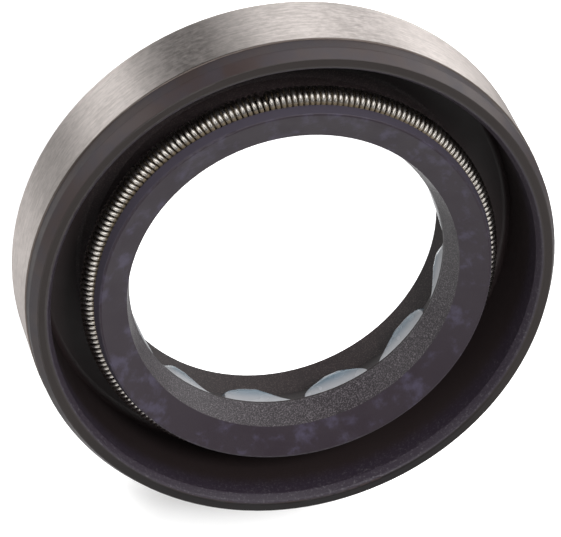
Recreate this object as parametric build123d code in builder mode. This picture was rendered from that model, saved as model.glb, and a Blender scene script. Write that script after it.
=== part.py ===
from build123d import *
from math import atan, cos, degrees, radians, sin
import os

# A radial shaft seal for a 20 mm shaft in a 32 mm housing bore, 7 mm wide (20 x 32 x 7).
# A pressed steel case carries one rubber moulding, which forms the static rim, the
# spring-loaded sealing lip and the dust lip. Millimetres. +Z is the shaft axis, pointing to
# the oil side. The origin is the centre of the steel back face, on which the seal lies.
# Sections are drawn as (radius, height) on the XZ plane and revolved about Z.

# ---- overall sizes
shaft_diameter = 20.0
outer_diameter = 32.0
seal_width = 7.0

# ---- steel case: an L-section ring, its front edge necked and buried in the rubber rim
sheet = 0.8
bend_radius = 1.0
rim_height = 1.76
seat_edge_fillet = 0.05
neck_step = 0.38
neck_taper = 0.2
neck_length = 0.6
flange_cover = 1.9

# ---- rubber rim and lining, outside in
rim_recess = 0.07
rim_band = 0.96
band_fillet = 0.3
nose_chamfer = 0.36
nose_fillet = 0.1
rim_face = 0.58
face_fillet = 0.3
lead_in_width = 0.3
lead_in_depth = 0.58
lead_in_fillet = 0.2
lining = 0.68
lining_draft = 0.12
floor_lining = 0.55
trough_fillet = 0.4

# ---- sealing lip: radii from the shaft surface, depths from the front plane
lip_interference = 0.4
contact_depth = 2.83
contact_land = 0.25
mouth_clearance = 0.08
mouth_depth = 0.95
crown_depth = 0.22
crown_inset = 0.1
crown_fillet = 0.12
retainer_overhang = 0.12
retainer_depth = 0.96
retainer_fillet = 0.08
channel_depth = 0.7
membrane = 0.75
membrane_foot = 0.55
waist_drop = 1.0
waist_fillet = 0.6
heel_drop = 0.25

# ---- garter spring: a close-wound coil bent into a ring, its tapered nose in its open end
spring_offset = 1.95
spring_depth = 2.05
coil_diameter = 1.44
wire_diameter = 0.33
groove_clearance = 0.02
groove_opening = (245.0, 100.0)
joint_angle = 258.5
nose_taper_angle = 3.0
nose_angle = 9.0
nose_clearance = 0.03

# ---- dust lip
dust_clearance = 0.25
dust_tip_height = 0.05
dust_tip_land = 0.12
dust_root_height = 1.6
dust_root_facet = 0.18
dust_thickness = 0.4
back_groove_height = 0.95
back_groove_width = 0.2
back_land = 0.5
back_recess = 0.12

# ---- grease dabs laid in the channel between the two lips
dab_count = 12
dab_start_angle = 29.25
dab_top_width = 4.15
dab_foot_width = 3.0
dab_top_drop = 0.065
dab_foot_height = 1.12
dab_belly_rise = 1.23
dab_thickness = 0.3
dab_corner = 0.9
dab_edge_fillet = 0.25

# ---- places worked out from the sizes above
shaft_radius = shaft_diameter / 2
outer_radius = outer_diameter / 2
steel_seat_height = seal_width - rim_height
case_bore = outer_radius - sheet
neck_radius = outer_radius - neck_step
neck_top = steel_seat_height + neck_taper + neck_length
flange_bore = shaft_radius + flange_cover

rim_radius = outer_radius - rim_recess
face_outer = rim_radius - nose_chamfer
face_inner = face_outer - rim_face
trough_mouth = (face_inner - lead_in_width, seal_width - lead_in_depth)
trough_corner = (case_bore - lining - lining_draft, sheet + floor_lining)

contact_radius = shaft_radius - lip_interference
contact_top = (contact_radius, seal_width - contact_depth + contact_land / 2)
contact_bottom = (contact_radius, contact_top[1] - contact_land)
mouth = (shaft_radius + mouth_clearance, seal_width - mouth_depth)

spring_radius = shaft_radius + spring_offset
spring_height = seal_width - spring_depth
coil_radius = coil_diameter / 2
groove_radius = coil_radius + groove_clearance
crown = (spring_radius - crown_inset, seal_width - crown_depth)
retainer = (spring_radius + retainer_overhang, seal_width - retainer_depth)

channel_root = (shaft_radius + channel_depth, dust_root_height + dust_root_facet)
air_slope = (channel_root[0] - contact_radius) / (contact_bottom[1] - channel_root[1])
dust_root = (channel_root[0] + dust_root_facet, dust_root_height)
dust_tip = (shaft_radius + dust_clearance, dust_tip_height)
dust_slope = (dust_root[0] - dust_tip[0]) / (dust_root[1] - dust_tip[1])
dust_heel = (dust_tip[0] + dust_tip_land, dust_tip_height)


def air_side(height, depth_in_rubber):
    """A point in the membrane, at a height and at a depth behind the lip's air side face."""
    face_radius = contact_radius + (contact_bottom[1] - height) * air_slope
    return (face_radius + depth_in_rubber / cos(atan(air_slope)), height)


def on_groove(angle):
    """A point on the circle of the spring groove, by its angle from the outward radius."""
    turn = radians(angle)
    return (spring_radius + groove_radius * cos(turn), spring_height + groove_radius * sin(turn))


def section_plane(angle):
    """The plane through the shaft axis at an angle round it, to draw a section on."""
    return Plane.XZ.rotated((0, 0, angle))


def corner(section, place):
    """The corner of a section nearest to a place."""
    return section.vertices().sort_by_distance((place[0], place[1], 0))[0]


# ---- steel case
with BuildPart() as steel_case:
    with BuildSketch(Plane.XZ) as case_section:
        with BuildLine():
            Polyline(
                (flange_bore, 0),
                (outer_radius, 0),
                (outer_radius, steel_seat_height),
                (neck_radius, steel_seat_height + neck_taper),
                (neck_radius, neck_top),
                (case_bore, neck_top),
                (case_bore, sheet),
                (flange_bore, sheet),
                close=True,
            )
        make_face()
        fillet(corner(case_section, (outer_radius, 0)), bend_radius)
        fillet(corner(case_section, (outer_radius, steel_seat_height)), seat_edge_fillet)
        fillet(corner(case_section, (case_bore, sheet)), bend_radius - sheet)
    revolve(axis=Axis.Z)

# ---- rubber body: one section, drawn into the steel and cut back to it, so the bond
#      follows the case on every face
groove_low = on_groove(groove_opening[0])
groove_high = on_groove(groove_opening[1])
membrane_waist = air_side(spring_height - coil_radius - waist_drop, membrane)
membrane_root = air_side(channel_root[1], membrane)
membrane_toe = (membrane_root[0] + membrane_foot, trough_corner[1])
lip_heel = (groove_low[0], groove_low[1] - heel_drop)
dust_back_top = (dust_tip[0] + dust_thickness + back_groove_height * dust_slope, back_groove_height)

with BuildPart() as rubber_body:
    with BuildSketch(Plane.XZ) as rubber_section:
        with BuildLine():
            Polyline(
                groove_low,
                lip_heel,
                membrane_waist,
                membrane_root,
                membrane_toe,
                trough_corner,
                trough_mouth,
                (face_inner, seal_width),
                (face_outer, seal_width),
                (rim_radius, steel_seat_height + rim_band),
                (rim_radius, steel_seat_height),
                (outer_radius - sheet / 2, steel_seat_height),
                (outer_radius - sheet / 2, sheet / 2),
                (flange_bore, sheet / 2),
                (flange_bore, back_recess),
                (flange_bore - back_land, back_recess),
                (dust_back_top[0] + back_groove_width, back_groove_height),
                dust_back_top,
                dust_heel,
                dust_tip,
                dust_root,
                channel_root,
                contact_bottom,
                contact_top,
                mouth,
                crown,
                retainer,
                groove_high,
            )
            ThreePointArc(groove_high, on_groove(180), groove_low)
        make_face()
        fillet(corner(rubber_section, (rim_radius, steel_seat_height + rim_band)), band_fillet)
        fillet(corner(rubber_section, (face_outer, seal_width)), nose_fillet)
        fillet(corner(rubber_section, (face_inner, seal_width)), face_fillet)
        fillet(corner(rubber_section, trough_mouth), lead_in_fillet)
        fillet(corner(rubber_section, trough_corner), trough_fillet)
        fillet(corner(rubber_section, membrane_toe), trough_fillet)
        fillet(corner(rubber_section, membrane_waist), waist_fillet)
        fillet(corner(rubber_section, crown), crown_fillet)
        fillet(corner(rubber_section, retainer), retainer_fillet)
    revolve(axis=Axis.Z)
    add(steel_case.part, mode=Mode.SUBTRACT)

# ---- garter spring: the coil's outer form as a tube one wire thick, cut open at the joint,
#      where one end tapers to a nose that is screwed into the bore of the other
coil_bore = coil_radius - wire_diameter
nose_radius = coil_bore - nose_clearance


with BuildPart() as garter_spring:
    with BuildSketch(section_plane(joint_angle)):
        with Locations((spring_radius, spring_height)):
            Circle(coil_radius)
            Circle(coil_bore, mode=Mode.SUBTRACT)
    revolve(axis=Axis.Z, revolution_arc=360 - nose_taper_angle)
    with BuildSketch(section_plane(joint_angle - nose_taper_angle)):
        with Locations((spring_radius, spring_height)):
            Circle(coil_radius)
    with BuildSketch(section_plane(joint_angle)):
        with Locations((spring_radius, spring_height)):
            Circle(nose_radius)
    loft()
    with BuildSketch(section_plane(joint_angle)):
        with Locations((spring_radius, spring_height)):
            Circle(nose_radius)
    revolve(axis=Axis.Z, revolution_arc=nose_angle)

# ---- grease dabs: each fills the channel from the sealing lip to the dust lip, and narrows
#      towards the dust lip
dab_top = air_side(contact_bottom[1] - dab_top_drop, 0)
dab_belly = air_side(dab_foot_height + dab_belly_rise, -dab_thickness)
dab_foot = (dust_root[0] - (dust_root[1] - dab_foot_height) * dust_slope, dab_foot_height)
dab_sweep = degrees(dab_top_width / contact_radius) + 1

with BuildPart() as dab:
    with BuildSketch(section_plane(-dab_sweep / 2)):
        with BuildLine():
            Polyline(dab_foot, dust_root, channel_root, dab_top)
            ThreePointArc(dab_top, dab_belly, dab_foot)
        make_face()
    revolve(axis=Axis.Z, revolution_arc=dab_sweep)
    with BuildSketch(Plane.YZ) as dab_outline:
        with BuildLine():
            Polyline(
                (-dab_top_width / 2, contact_bottom[1]),
                (dab_top_width / 2, contact_bottom[1]),
                (dab_foot_width / 2, dab_foot_height),
                (-dab_foot_width / 2, dab_foot_height),
                close=True,
            )
        make_face()
        fillet(dab_outline.vertices().group_by(Axis.Y)[0], dab_corner)
    extrude(amount=outer_radius, mode=Mode.INTERSECT)
    dab_front = dab.faces().filter_by(GeomType.TORUS)[0]
    fillet(dab_front.edges().filter_by(GeomType.CIRCLE, reverse=True), dab_edge_fillet)

with BuildPart() as grease_dabs:
    with PolarLocations(0, dab_count, dab_start_angle):
        add(dab.part)

# ---- one STEP file per piece
steel_case.part.label = "steel_case"
rubber_body.part.label = "rubber_body"
garter_spring.part.label = "garter_spring"
grease_dabs.part.label = "grease_dabs"

os.makedirs("parts", exist_ok=True)
export_step(steel_case.part, "parts/steel_case.step")
export_step(rubber_body.part, "parts/rubber_body.step")
export_step(garter_spring.part, "parts/garter_spring.step")
export_step(grease_dabs.part, "parts/grease_dabs.step")
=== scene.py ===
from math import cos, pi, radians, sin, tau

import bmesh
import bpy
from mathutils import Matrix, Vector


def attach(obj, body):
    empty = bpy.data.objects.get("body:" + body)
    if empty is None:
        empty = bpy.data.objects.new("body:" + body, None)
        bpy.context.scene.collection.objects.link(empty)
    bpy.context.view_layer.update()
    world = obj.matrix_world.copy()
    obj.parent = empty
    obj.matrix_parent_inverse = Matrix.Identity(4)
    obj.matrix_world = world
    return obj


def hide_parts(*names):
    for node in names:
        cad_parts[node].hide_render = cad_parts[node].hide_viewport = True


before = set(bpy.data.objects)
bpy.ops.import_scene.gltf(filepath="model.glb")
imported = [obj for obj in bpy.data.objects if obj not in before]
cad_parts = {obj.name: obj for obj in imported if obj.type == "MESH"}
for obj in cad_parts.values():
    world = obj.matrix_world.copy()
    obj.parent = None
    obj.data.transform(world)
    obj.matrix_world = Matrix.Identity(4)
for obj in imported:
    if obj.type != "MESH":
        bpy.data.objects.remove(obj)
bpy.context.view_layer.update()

# The looks of a radial shaft seal: brushed steel case, black rubber body with its sealing lip
# and dust lip, a garter spring wound turn by turn, and dabs of grease between the two lips.
# The part lies on its back face, with the shaft axis along +Z. Lengths are named in
# millimetres and given to Blender in metres. Angles are named in
# degrees, and colours are linear red, green, blue and alpha.

MM = 0.001

# ---- the object, as the CAD model has it
SEAL_WIDTH = 7.0
STEEL_SEAT_HEIGHT = 5.24
SPRING_RADIUS = 11.95
SPRING_HEIGHT = 4.95
COIL_RADIUS = 0.72
JOINT_ANGLE = 258.5

# ---- the wall between the two lips, from top to foot, as (radius, height)
CONTACT_BOTTOM = (9.6, 4.045)
CHANNEL_ROOT = (10.79, 1.69)
DUST_FOOT = (10.685, 1.12)


# ---------------------------------------------------------------- small helpers
def polar(radius, angle, height=0.0):
    """A point by its radius, its angle round the shaft axis in radians and its height."""
    return Vector((radius * cos(angle), radius * sin(angle), height))


def paint(piece, material):
    """Gives a CAD node its material."""
    piece.data.materials.clear()
    piece.data.materials.append(material)


# ---------------------------------------------------------------- mesh pieces
WELD_DISTANCE = 0.001


def weld(mesh):
    """Makes one point of those that fall together, as where a dab runs out to nothing."""
    form = bmesh.new()
    form.from_mesh(mesh)
    bmesh.ops.remove_doubles(form, verts=form.verts, dist=WELD_DISTANCE * MM)
    form.to_mesh(mesh)
    form.free()


def mesh_piece(name, verts, faces, material, replaced):
    """A smooth-shaded mesh piece, made from millimetres, that stands for a CAD node."""
    mesh = bpy.data.meshes.new(name)
    mesh.from_pydata([point * MM for point in verts], [], faces)
    weld(mesh)
    mesh.shade_smooth()
    mesh.materials.append(material)
    piece = bpy.data.objects.new(name, mesh)
    bpy.context.scene.collection.objects.link(piece)
    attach(piece, "root")
    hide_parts(replaced)


def closed_skin(rings):
    """Points and faces of a closed form, from equal rings of points strung along it."""
    size = len(rings[0])
    verts = [point for ring in rings for point in ring]
    last = len(verts) - size
    faces = [tuple(reversed(range(size))), tuple(range(last, len(verts)))]
    for start in range(0, last, size):
        for k in range(size):
            here = start + k
            beside = start + (k + 1) % size
            faces.append((here, beside, beside + size, here + size))
    return verts, faces


# ---------------------------------------------------------------- material helpers
# the Mix node's colour sockets, which share their names with its number sockets
MIX_COLOUR_A = 6
MIX_COLOUR_B = 7
MIX_COLOUR_RESULT = 2

# between these values lies most of a noise
NOISE_MIDDLE = (0.3, 0.7)


class Graph:
    """A short way to write a node tree. Places in it are in millimetres."""

    def __init__(self, tree):
        self.tree = tree
        tree.nodes.clear()

    def add(self, kind, inputs=None, **settings):
        """A new node, its settings made first and its inputs then linked or set."""
        node = self.tree.nodes.new("ShaderNode" + kind)
        for key, value in settings.items():
            setattr(node, key, value)
        for key, value in (inputs or {}).items():
            self.feed(node.inputs[key], value)
        return node

    def feed(self, socket, value):
        """Links an output to a socket, or sets the socket to a plain value."""
        if isinstance(value, bpy.types.NodeSocket):
            self.tree.links.new(value, socket)
        else:
            socket.default_value = value

    def math(self, operation, *values):
        """The result of a Math node, its inputs in order."""
        return self.add("Math", dict(enumerate(values)), operation=operation).outputs[0]

    def both(self, first, second):
        """Where two masks overlap."""
        return self.math("MULTIPLY", first, second)

    def place(self):
        """Where the surface is, in millimetres in the part's own frame."""
        coordinates = self.add("TexCoord").outputs["Object"]
        scaled = self.add("VectorMath", {0: coordinates, "Scale": 1 / MM}, operation="SCALE")
        return scaled.outputs[0]

    def section(self, place):
        """A place's radius from the shaft axis and its height."""
        x, y, z = self.add("SeparateXYZ", {0: place}).outputs
        square = self.math("MULTIPLY_ADD", x, x, self.math("MULTIPLY", y, y))
        return self.math("SQRT", square), z

    def stretched(self, place, scale):
        """A place with each of its axes scaled by itself."""
        return self.add("VectorMath", {0: place, 1: scale}, operation="MULTIPLY").outputs[0]

    def toward(self, direction, azimuth, elevation):
        """How far a place reaches toward an azimuth and elevation, or a direction's cosine."""
        flat = cos(radians(elevation))
        target = polar(flat, radians(azimuth), sin(radians(elevation)))
        node = self.add("VectorMath", {0: direction, 1: target}, operation="DOT_PRODUCT")
        return node.outputs["Value"]

    def noise(self, place, scale, detail=2.0, roughness=0.5):
        """Soft noise from 0 to 1, its scale in features to a millimetre."""
        inputs = {"Vector": place, "Scale": scale, "Detail": detail, "Roughness": roughness}
        return self.add("TexNoise", inputs).outputs["Fac"]

    def ramp(self, value, low, high, from_value=0.0, to_value=1.0):
        """A smooth step of value between low and high."""
        inputs = {
            "Value": value,
            "From Min": low,
            "From Max": high,
            "To Min": from_value,
            "To Max": to_value,
        }
        return self.add("MapRange", inputs, interpolation_type="SMOOTHSTEP").outputs[0]

    def above(self, value, edge):
        """1 above an edge and 0 below it, the edge given as where the change starts and ends."""
        return self.ramp(value, *edge)

    def below(self, value, edge):
        """1 below an edge and 0 above it, the edge given as where the change starts and ends."""
        return self.ramp(value, *edge, 1.0, 0.0)

    def lerp(self, share, first, second):
        """A number between first and second, by a share from 0 to 1."""
        inputs = {"Factor": share, "A": first, "B": second}
        return self.add("Mix", inputs, data_type="FLOAT").outputs[0]

    def blend(self, share, first, second):
        """A colour between first and second, by a share from 0 to 1."""
        inputs = {"Factor": share, MIX_COLOUR_A: first, MIX_COLOUR_B: second}
        return self.add("Mix", inputs, data_type="RGBA").outputs[MIX_COLOUR_RESULT]

    def bump(self, height, strength, distance):
        """A surface normal from a height map, its distance in millimetres."""
        inputs = {"Strength": strength, "Distance": distance * MM, "Height": height}
        return self.add("Bump", inputs).outputs[0]

    def seen_directly(self):
        """1 for rays from the camera, also through glass, and 0 for all others."""
        ray = self.add("LightPath").outputs
        return self.math("MAXIMUM", ray["Is Camera Ray"], ray["Is Transmission Ray"])


def new_material(name):
    """An empty node material and its graph."""
    material = bpy.data.materials.new(name)
    material.use_nodes = True
    return material, Graph(material.node_tree)


def principled_surface(graph, inputs):
    """Makes the material's surface a principled shader with these inputs."""
    shader = graph.add("BsdfPrincipled", inputs)
    graph.add("OutputMaterial", {"Surface": shader.outputs[0]})


# ---------------------------------------------------------------- steel
STEEL_DARK = (0.53, 0.485, 0.460, 1)
STEEL_LIGHT = (0.76, 0.70, 0.67, 1)
# painted shade: a dark brown band along the case's top edge, where the steel meets the rubber
STEEL_EDGE_PAINTED_SHADE = (0.19, 0.16, 0.145, 1)
STEEL_EDGE_HEIGHT = (STEEL_SEAT_HEIGHT - 0.12, STEEL_SEAT_HEIGHT - 0.03)
STEEL_ROUGHNESS = (0.33, 0.41)

# the lines and the grain are finer along the shaft than round it
LINE_STRETCH = (0.5, 0.5, 11.0)
GRAIN_STRETCH = (2.2, 2.2, 5.0)
LINE_WEIGHT = 0.35
GRAIN_WEIGHT = 0.45
CLOUD_WEIGHT = 0.2
STEEL_TONE = (0.34, 0.66)


def steel_material():
    """Ground steel: fine lines run round the case, over mottled grain and soft clouds, with
    painted shade darkening its top edge.
    """
    material, graph = new_material("ground_steel")
    place = graph.place()
    height = graph.section(place)[1]
    along_lines = graph.stretched(place, LINE_STRETCH)
    along_grain = graph.stretched(place, GRAIN_STRETCH)
    lines = graph.noise(along_lines, scale=1.0, detail=3.0, roughness=0.6)
    grain = graph.noise(along_grain, scale=1.0, detail=3.0, roughness=0.65)
    clouds = graph.noise(place, scale=0.35)

    tone = graph.math("MULTIPLY", grain, GRAIN_WEIGHT)
    tone = graph.math("MULTIPLY_ADD", lines, LINE_WEIGHT, tone)
    tone = graph.math("MULTIPLY_ADD", clouds, CLOUD_WEIGHT, tone)
    colour = graph.blend(graph.above(tone, STEEL_TONE), STEEL_DARK, STEEL_LIGHT)
    inputs = {
        # painted shade darkens the steel toward its top edge
        "Base Color": graph.blend(graph.above(height, STEEL_EDGE_HEIGHT), colour, STEEL_EDGE_PAINTED_SHADE),
        "Metallic": 1.0,
        "Roughness": graph.ramp(grain, *NOISE_MIDDLE, *STEEL_ROUGHNESS),
        "Anisotropic": 1.0,
        "Anisotropic Rotation": 0.25,
        "Tangent": graph.add("Tangent", direction_type="RADIAL", axis="Z").outputs[0],
        "Normal": graph.bump(lines, strength=0.12, distance=0.01),
    }
    principled_surface(graph, inputs)
    return material


# ---------------------------------------------------------------- rubber
# where the rubber changes, as the radius or height at which the change starts and ends
LIP_BACK_RADIUS = (12.25, 12.35)
CROWN_RADIUS = (11.83, 11.9)
MOUTH_RADIUS = (10.15, 10.25)
LIP_FACE_HEIGHT = (5.95, 6.07)
MOUTH_HEIGHT = (6.02, 6.07)
CONTACT_HEIGHT = (4.12, 4.2)
RIM_RADIUS = (14.58, 14.66)
LEAD_IN_RADIUS = (15.0, 15.06)
RIM_FACE_HEIGHT = (6.93, 6.99)

# painted shade: the rim's face is darker on one side: the azimuth of that side, and how far out
# it starts
RIM_PAINTED_SHADE_SIDE = 70.0
RIM_PAINTED_SHADE_START = (6.0, 14.0)

TROUGH = (0.0210, 0.0150, 0.0152, 1)
RIM_WARM = (0.0285, 0.0178, 0.0170, 1)
RIM_COOL = (0.0250, 0.0188, 0.0228, 1)
# the rim's face is painted darker than its side as painted shade, and darker still toward one
# side
RIM_FACE = (0.0155, 0.0112, 0.0100, 1)
RIM_FACE_DEEP_PAINTED_SHADE = (0.0030, 0.0016, 0.0018, 1)
LEAD_IN = (0.0215, 0.0155, 0.0235, 1)
LEAD_IN_DUST = (0.075, 0.068, 0.076, 1)
LIP_FACE = (0.0150, 0.0090, 0.0145, 1)
LIP_BLOOM = (0.036, 0.029, 0.050, 1)
# a painted highlight: a lighter line along the lip's crown
CROWN = (0.052, 0.045, 0.060, 1)
MOUTH = (0.023, 0.0185, 0.0215, 1)
MOUTH_GRIT = (0.150, 0.134, 0.145, 1)
DUST_LIP = (0.0150, 0.0108, 0.0115, 1)
DUST_LIP_SPECK = (0.0520, 0.0390, 0.0380, 1)
RUBBER_ROUGHNESS = (0.38, 0.48)
DUST_LIP_ROUGHNESS = 0.62

# how much of a noise shows as cloud, dust, speck or patch, as where it starts and is full
RIM_CLOUDS = (0.40, 0.64)
LEAD_IN_DUST_SPECKS = (0.52, 0.74)
SPECKS = (0.45, 0.74)
BLOOM_PATCHES = (0.50, 0.72)
GRIT_RELIEF = 2.5


def rim_colour(graph, place, radius, height, clouds):
    """Dull black rim with a dusty lead-in, its face painted darker as shade, most on one side.
    """
    side = graph.blend(graph.above(clouds, RIM_CLOUDS), RIM_WARM, RIM_COOL)
    lead_in = graph.below(radius, LEAD_IN_RADIUS)
    dust = graph.noise(place, scale=7.0, detail=3.0, roughness=0.7)
    dust = graph.above(dust, LEAD_IN_DUST_SPECKS)
    side = graph.blend(lead_in, side, LEAD_IN)
    side = graph.blend(graph.both(lead_in, dust), side, LEAD_IN_DUST)

    # painted shade: the face darkens toward one side
    painted_shade = graph.above(graph.toward(place, RIM_PAINTED_SHADE_SIDE, 0), RIM_PAINTED_SHADE_START)
    face = graph.blend(painted_shade, RIM_FACE, RIM_FACE_DEEP_PAINTED_SHADE)
    return graph.blend(graph.above(height, RIM_FACE_HEIGHT), side, face)


def rubber_material():
    """Black moulded rubber, with a violet bloom on the lip's face and grit in its mouth, a
    painted highlight along the lip's crown and painted shade on the rim's face.
    """
    material, graph = new_material("moulded_rubber")
    place = graph.place()
    radius, height = graph.section(place)
    clouds = graph.noise(place, scale=0.5, detail=3.0, roughness=0.6)
    grain = graph.noise(place, scale=9.0, roughness=0.6)
    specks = graph.above(graph.noise(place, scale=12.0, roughness=0.6), SPECKS)
    patches = graph.noise(place, scale=0.85, detail=4.0, roughness=0.62)
    patches = graph.above(patches, BLOOM_PATCHES)

    lip_side = graph.below(radius, LIP_BACK_RADIUS)
    lip_face = graph.both(graph.above(height, LIP_FACE_HEIGHT), lip_side)
    crown = graph.both(lip_face, graph.above(radius, CROWN_RADIUS))
    dust_lip = graph.both(graph.below(height, CONTACT_HEIGHT), lip_side)
    mouth = graph.both(graph.below(height, MOUTH_HEIGHT), graph.above(height, CONTACT_HEIGHT))
    mouth = graph.both(mouth, graph.below(radius, MOUTH_RADIUS))

    rim = rim_colour(graph, place, radius, height, clouds)
    colour = graph.blend(graph.above(radius, RIM_RADIUS), TROUGH, rim)
    colour = graph.blend(dust_lip, colour, graph.blend(specks, DUST_LIP, DUST_LIP_SPECK))
    colour = graph.blend(lip_face, colour, graph.blend(patches, LIP_FACE, LIP_BLOOM))
    # painted highlight along the crown
    colour = graph.blend(crown, colour, CROWN)
    colour = graph.blend(mouth, colour, graph.blend(specks, MOUTH, MOUTH_GRIT))

    moulded = graph.ramp(clouds, *NOISE_MIDDLE, *RUBBER_ROUGHNESS)
    relief = graph.math("MULTIPLY_ADD", graph.both(specks, mouth), GRIT_RELIEF, grain)
    inputs = {
        "Base Color": colour,
        "Roughness": graph.lerp(dust_lip, moulded, DUST_LIP_ROUGHNESS),
        "Normal": graph.bump(relief, strength=0.3, distance=0.02),
    }
    principled_surface(graph, inputs)
    return material


# ---------------------------------------------------------------- garter spring
WIRE_RADIUS = 0.132
WIRE_SIDES = 10
WIRE_START_ANGLE = 205.0
TURNS = 223.0
STEPS_A_TURN = 26
NOSE_SPAN = 1.7
NOSE_REACH = 3.0
NOSE_COIL_RADIUS = 0.2

WIRE_DULL = (0.50, 0.465, 0.425, 1)
WIRE_BRIGHT = (0.64, 0.61, 0.57, 1)
# painted shade and painted reflection of the dark rubber: brown and less metallic on each turn's
# inner side
WIRE_INNER_PAINTED_SHADE = (0.25, 0.20, 0.14, 1)
WIRE_INNER_METALLIC = 0.4
WIRE_ROUGHNESS = (0.22, 0.30)
WIRE_OUTER_RADIUS = (SPRING_RADIUS + 0.02, SPRING_RADIUS + 0.22)


def spring_material():
    """Bright drawn wire, brown and dull on the inner side of each turn, as painted shade and a
    painted reflection of the dark rubber.
    """
    material, graph = new_material("spring_wire")
    place = graph.place()
    radius = graph.section(place)[0]
    clouds = graph.noise(place, scale=1.4)
    outer_side = graph.above(radius, WIRE_OUTER_RADIUS)
    bright = graph.blend(clouds, WIRE_DULL, WIRE_BRIGHT)
    inputs = {
        # the inner side of each turn gets the painted shade
        "Base Color": graph.blend(outer_side, WIRE_INNER_PAINTED_SHADE, bright),
        "Metallic": graph.ramp(outer_side, 0.0, 1.0, WIRE_INNER_METALLIC, 1.0),
        "Roughness": graph.ramp(clouds, *NOISE_MIDDLE, *WIRE_ROUGHNESS),
    }
    principled_surface(graph, inputs)
    return material


def coil_line():
    """The wire's centreline: a coil bent into a ring, its last turns drawn in to a nose."""
    ring_span = 360.0
    step = ring_span / TURNS / STEPS_A_TURN
    wound_radius = COIL_RADIUS - WIRE_RADIUS
    count = int((ring_span + NOSE_REACH) / step) + 1
    line = []
    for i in range(count):
        travel = i * step
        into_nose = min(max((travel - ring_span + NOSE_SPAN) / NOSE_SPAN, 0.0), 1.0)
        coil = wound_radius + (NOSE_COIL_RADIUS - wound_radius) * into_nose
        turn = radians(WIRE_START_ANGLE) - tau * i / STEPS_A_TURN
        radius = SPRING_RADIUS + coil * cos(turn)
        height = SPRING_HEIGHT + coil * sin(turn)
        line.append(polar(radius, radians(JOINT_ANGLE + travel), height))
    return line


def wire_rings(line):
    """Rings of points round the wire's centreline, carried along it without twist."""
    rings = []
    normal = (line[1] - line[0]).normalized().orthogonal()
    for i, point in enumerate(line):
        ahead = line[min(i + 1, len(line) - 1)] - line[max(i - 1, 0)]
        along = ahead.normalized()
        normal = (normal - along * normal.dot(along)).normalized()
        across = along.cross(normal)
        turns = [tau * k / WIRE_SIDES for k in range(WIRE_SIDES)]
        rings.append([point + WIRE_RADIUS * (cos(t) * normal + sin(t) * across) for t in turns])
    return rings


def garter_spring():
    """The spring's wire, wound turn by turn, in place of the CAD tube."""
    verts, faces = closed_skin(wire_rings(coil_line()))
    mesh_piece("spring_coil", verts, faces, spring_material(), "garter_spring")


# ---------------------------------------------------------------- grease
DAB_START_ANGLE = 29.25
DAB_WIDTH_ANGLE = 24.75
DAB_BULGE = 0.52
DAB_BED = 0.04
DAB_COLUMNS = 48
DAB_ROWS = 18
DAB_TAILS = (
    # how far each dab's two ends are drawn out, from 0, round, to 1, a tail
    (1.0, 1.0),
    (0.1, 0.8),
    (0.3, 0.35),
    (0.6, 0.0),
    (1.0, 0.8),
    (0.3, 0.6),
    (0.0, 0.4),
    (0.8, 0.2),
    (0.2, 0.1),
    (0.5, 0.9),
    (0.0, 0.7),
    (0.6, 0.3),
)

# a dab's outline, as shares of the wall's length and of half its width
DAB_DEPTH = 0.9
DAB_FULL_BULGE = 1 / 1.2
DAB_FLAT = 0.1
DAB_END = 0.995
ROUND_END_POWERS = (2.6, 0.6)

GREASE_DEEP = (0.080, 0.130, 0.175, 1)
GREASE_CLOUD = (0.15, 0.21, 0.26, 1)
# painted reflections: a lighter grey toward the top and a pale rim at the foot
GREASE_TOP_PAINTED_REFLECTION = (0.29, 0.295, 0.31, 1)
GREASE_FOOT_PAINTED_REFLECTION = (0.62, 0.66, 0.70, 1)
GREASE_TOP_HEIGHT = (2.7, 4.0)
GREASE_FOOT_HEIGHT = (2.3, 2.6)
GREASE_ROUGHNESS = (0.20, 0.28)


def grease_material():
    """Clouded blue-grey grease with a wet skin, painted greyer at its top and pale at its foot
    as painted reflections.
    """
    material, graph = new_material("grease")
    place = graph.place()
    height = graph.section(place)[1]
    clouds = graph.noise(place, scale=0.8)
    body = graph.blend(clouds, GREASE_DEEP, GREASE_CLOUD)
    # painted reflection at the top, then at the foot
    colour = graph.blend(graph.above(height, GREASE_TOP_HEIGHT), body, GREASE_TOP_PAINTED_REFLECTION)
    inputs = {
        "Base Color": graph.blend(graph.below(height, GREASE_FOOT_HEIGHT), colour, GREASE_FOOT_PAINTED_REFLECTION),
        "Roughness": graph.ramp(clouds, *NOISE_MIDDLE, *GREASE_ROUGHNESS),
    }
    principled_surface(graph, inputs)
    return material


def channel_wall(share):
    """A place on the wall between the two lips, as (radius, height), at a share of its length
    from the top."""
    top, root, foot = Vector(CONTACT_BOTTOM), Vector(CHANNEL_ROOT), Vector(DUST_FOOT)
    down = root - top
    back = foot - root
    travel = share * (down.length + back.length)
    if travel < down.length:
        return top + down * (travel / down.length)
    return root + back * ((travel - down.length) / back.length)


def dab_reach(across, tails):
    """How far down the wall a dab reaches, as a share: most in the middle, and less toward each
    end, which is round or drawn out into a tail."""
    tail = tails[0] if across < 0 else tails[1]
    outward = max(abs(across) - DAB_FLAT, 0.0) / (1 - DAB_FLAT)
    outer_power, inner_power = ROUND_END_POWERS
    round_end = (1 - outward ** outer_power) ** inner_power
    tail_end = 1 - outward * outward * (3 - 2 * outward)
    return DAB_DEPTH * (round_end + (tail_end - round_end) * tail)


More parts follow.
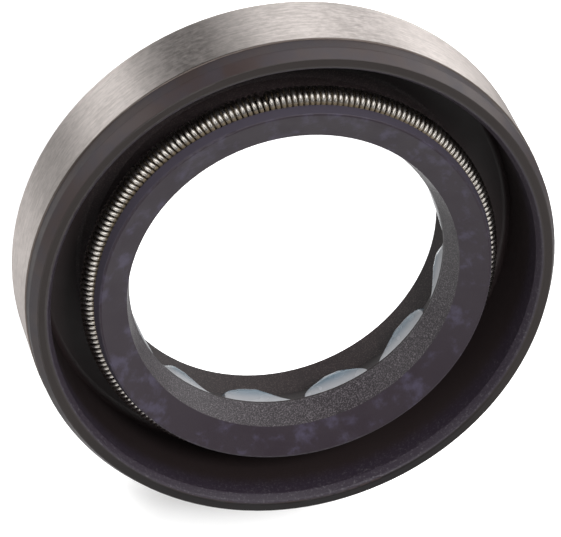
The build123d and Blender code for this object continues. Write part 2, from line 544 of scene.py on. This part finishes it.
def dab_section(reach):
    """A dab's closed section: down its bulging skin and back up just inside the wall."""
    top = channel_wall(0.0)
    down = channel_wall(reach) - top
    facing = Vector((down.y, -down.x)).normalized()
    bulge = DAB_BULGE * min(1.0, reach / DAB_FULL_BULGE)
    section = []
    for k in range(DAB_ROWS + 1):
        share = (1 - cos(pi * k / DAB_ROWS)) / 2
        swell = 4 * share * (1 - share)
        section.append(top + down * share + facing * (bulge * swell))
    for k in range(DAB_ROWS - 1, 0, -1):
        section.append(channel_wall(reach * k / DAB_ROWS) - facing * DAB_BED)
    return section


def dab_rings(angle, tails):
    """One dab's sections, strung along the channel from end to end."""
    rings = []
    for i in range(DAB_COLUMNS + 1):
        across = DAB_END * (1 - 2 * i / DAB_COLUMNS)
        turn = radians(angle + across * DAB_WIDTH_ANGLE / 2)
        section = dab_section(dab_reach(across, tails))
        rings.append([polar(place.x, turn, place.y) for place in section])
    return rings


def grease_dabs():
    """The dabs in the channel, no two drawn out alike, in place of the CAD ones."""
    verts, faces = [], []
    for i, tails in enumerate(DAB_TAILS):
        angle = DAB_START_ANGLE + i * 360 / len(DAB_TAILS)
        dab_verts, dab_faces = closed_skin(dab_rings(angle, tails))
        faces += [tuple(len(verts) + corner for corner in face) for face in dab_faces]
        verts += dab_verts
    mesh_piece("dabs", verts, faces, grease_material(), "grease_dabs")


# ---------------------------------------------------------------- surroundings
WHITE = (1, 1, 1, 1)
LOW_PANELS = (
    # azimuth, and the brightness of what stands below the horizon on that side
    (0, 0.95),
    (38, 0.42),
    (62, 0.85),
    (84, 2.80),
    (98, 1.30),
    (118, 0.66),
    (146, 0.10),
    (176, 1.00),
    (206, 0.40),
    (230, 0.86),
    (252, 0.56),
    (265, 0.02),
    (279, 0.00),
    (286, 0.34),
    (314, 0.84),
    (346, 0.26),
    (360, 0.95),
)
SOFTBOXES = (
    # azimuth, elevation, half width and brightness; a dark one takes light away
    (182, -14, 22, 2.3),
    (204, 30, 22, 1.6),
    (226, 6, 24, 2.5),
    (300, -8, 17, 2.3),
    (338, -12, 18, 0.45),
    (271, -14, 20, 0.0),
    (270, 48, 26, 0.60),
    (270, 55, 20, 3.00),
    (250, 88, 28, 0.26),
    (90, 58, 22, 0.46),
)
SOFTBOX_BLUR = 0.03
HORIZON = (-0.15, 0.15)

# above the horizon one side is a bright table and the other is darker
TABLE_SIDE = 70.0
TABLE_EDGE = (-0.2, 0.1)
TABLE_BRIGHTNESS = 1.05
DARK_SIDE_BRIGHTNESS = 0.30


def low_panels(graph, direction):
    """The brightness of the panels that stand round the part, by a direction's azimuth."""
    x, y = graph.add("SeparateXYZ", {0: direction}).outputs[:2]
    turn = graph.math("MULTIPLY_ADD", graph.math("ARCTAN2", y, x), 1 / tau, 1.0)
    panels = graph.add("ValToRGB", {"Fac": graph.math("FRACT", turn)})
    panels.color_ramp.interpolation = "EASE"
    stops = panels.color_ramp.elements
    for azimuth, _ in LOW_PANELS[1:-1]:
        stops.new(azimuth / 360)
    for stop, (azimuth, brightness) in zip(stops, LOW_PANELS):
        stop.position = azimuth / 360
        stop.color = (brightness, brightness, brightness, 1)
    return graph.add("RGBToBW", {0: panels.outputs[0]}).outputs[0]


def surroundings():
    """White to the camera. Round the part stand bright panels with darker gaps between."""
    world = bpy.data.worlds.new("studio")
    bpy.context.scene.world = world
    world.use_nodes = True
    graph = Graph(world.node_tree)
    direction = graph.add("TexCoord").outputs["Generated"]

    table = graph.toward(direction, TABLE_SIDE, 0)
    high = graph.ramp(table, *TABLE_EDGE, DARK_SIDE_BRIGHTNESS, TABLE_BRIGHTNESS)
    upward = graph.toward(direction, 0, 90)
    level = graph.lerp(graph.above(upward, HORIZON), low_panels(graph, direction), high)
    for azimuth, elevation, half_width, brightness in SOFTBOXES:
        edge = cos(radians(half_width))
        facing = graph.toward(direction, azimuth, elevation)
        glow = graph.ramp(facing, edge - SOFTBOX_BLUR, edge + SOFTBOX_BLUR)
        level = graph.lerp(glow, level, brightness)

    studio = graph.add("Background", {"Color": WHITE, "Strength": level}).outputs[0]
    white = graph.add("Background", {"Color": WHITE, "Strength": 1.0}).outputs[0]
    shown = graph.add("MixShader", {0: graph.seen_directly(), 1: studio, 2: white})
    graph.add("OutputWorld", {"Surface": shown.outputs[0]})


# ---------------------------------------------------------------- floor
FLOOR_SIZE = 3000.0
FLOOR_COLOUR = (0.8, 0.8, 0.8, 1)
BORE_EDGE = (12.0, 14.0)

# the floor glows to the camera, so that it is white, most inside the bore and less where the
# part's shadow falls, and beyond the shadow's reach it is white again
FLOOR_LIFT = 0.8
SHADOW_LIFT = 0.12
SHADOW_SIDE = 62.0
SHADOW_HALF_WIDTH = (27.0, 10.0)
SHADOW_REACH = (22.0, 28.0)


def floor_material():
    """Pale floor that keeps a shadow and is white to the camera elsewhere."""
    material, graph = new_material("pale_floor")
    place = graph.place()
    radius = graph.section(place)[0]
    facing = graph.math("DIVIDE", graph.toward(place, SHADOW_SIDE, 0), radius)
    wide, narrow = SHADOW_HALF_WIDTH
    shadow = graph.ramp(facing, cos(radians(wide)), cos(radians(narrow)))
    shadow = graph.both(shadow, graph.below(radius, SHADOW_REACH))
    lift = graph.math("MULTIPLY_ADD", shadow, SHADOW_LIFT - FLOOR_LIFT, FLOOR_LIFT)
    lift = graph.lerp(graph.above(radius, BORE_EDGE), 1.0, lift)

    diffuse = graph.add("BsdfDiffuse", {"Color": FLOOR_COLOUR}).outputs[0]
    strength = graph.math("MULTIPLY", graph.seen_directly(), lift)
    glow = graph.add("Emission", {"Color": WHITE, "Strength": strength}).outputs[0]
    surface = graph.add("AddShader", {0: diffuse, 1: glow})
    graph.add("OutputMaterial", {"Surface": surface.outputs[0]})
    return material


def floor():
    """A wide square floor at the part's back face. Gloss sees the studio instead of it."""
    half = FLOOR_SIZE / 2 * MM
    mesh = bpy.data.meshes.new("floor")
    corners = [(-half, -half, 0), (half, -half, 0), (half, half, 0), (-half, half, 0)]
    mesh.from_pydata(corners, [], [(0, 1, 2, 3)])
    mesh.materials.append(floor_material())
    ground = bpy.data.objects.new("floor", mesh)
    bpy.context.scene.collection.objects.link(ground)
    ground.visible_glossy = False


# ---------------------------------------------------------------- lamp and camera
# the view leans from the shaft axis by its tilt, and aims right of and above the centre of
# the front plane, as the rolled camera sees it
VIEW_TILT = 34.51
VIEW_ROLL = 156.27
VIEW_DISTANCE = 256.0
VIEW_AIM = (-1.0432, 1.3858)
FOCAL_LENGTH = 279.3
CLIP_NEAR = 10.0
CLIP_FAR = 10000.0


def lamp(name, azimuth, elevation, distance, size, power):
    """A square soft lamp that faces the part, its power in watts."""
    data = bpy.data.lights.new(name, "AREA")
    data.shape = "SQUARE"
    data.size = size * MM
    data.energy = power
    light = bpy.data.objects.new(name, data)
    bpy.context.scene.collection.objects.link(light)
    flat = distance * cos(radians(elevation))
    light.location = polar(flat, radians(azimuth), distance * sin(radians(elevation))) * MM
    toward = Vector((0, 0, SEAL_WIDTH / 2 * MM)) - light.location
    light.rotation_euler = toward.to_track_quat("-Z", "Y").to_euler()
    light.visible_glossy = False


def camera():
    """The camera looks down the shaft axis at a slant, rolled so that the near side is up."""
    tilt, roll = radians(VIEW_TILT), radians(VIEW_ROLL)
    back = Vector((0, -sin(tilt), cos(tilt)))
    up = Vector((0, cos(tilt), sin(tilt)))
    right = Vector((1, 0, 0))
    rolled_right = cos(roll) * right + sin(roll) * up
    rolled_up = cos(roll) * up - sin(roll) * right
    place = Vector((0, 0, SEAL_WIDTH)) + back * VIEW_DISTANCE
    place += rolled_right * VIEW_AIM[0] + rolled_up * VIEW_AIM[1]
    data = bpy.data.cameras.new("camera")
    data.lens = FOCAL_LENGTH
    data.clip_start = CLIP_NEAR * MM
    data.clip_end = CLIP_FAR * MM
    eye = bpy.data.objects.new("camera", data)
    turn = Matrix((rolled_right, rolled_up, back)).transposed().to_4x4()
    eye.matrix_world = Matrix.Translation(place * MM) @ turn
    bpy.context.scene.collection.objects.link(eye)
    bpy.context.scene.camera = eye


# ---------------------------------------------------------------- the scene
paint(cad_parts["steel_case"], steel_material())
paint(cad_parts["rubber_body"], rubber_material())
garter_spring()
grease_dabs()

camera()
floor()
surroundings()
lamp("key", azimuth=240, elevation=54, distance=400, size=90, power=1.2)
bpy.context.scene.view_settings.view_transform = "Standard"
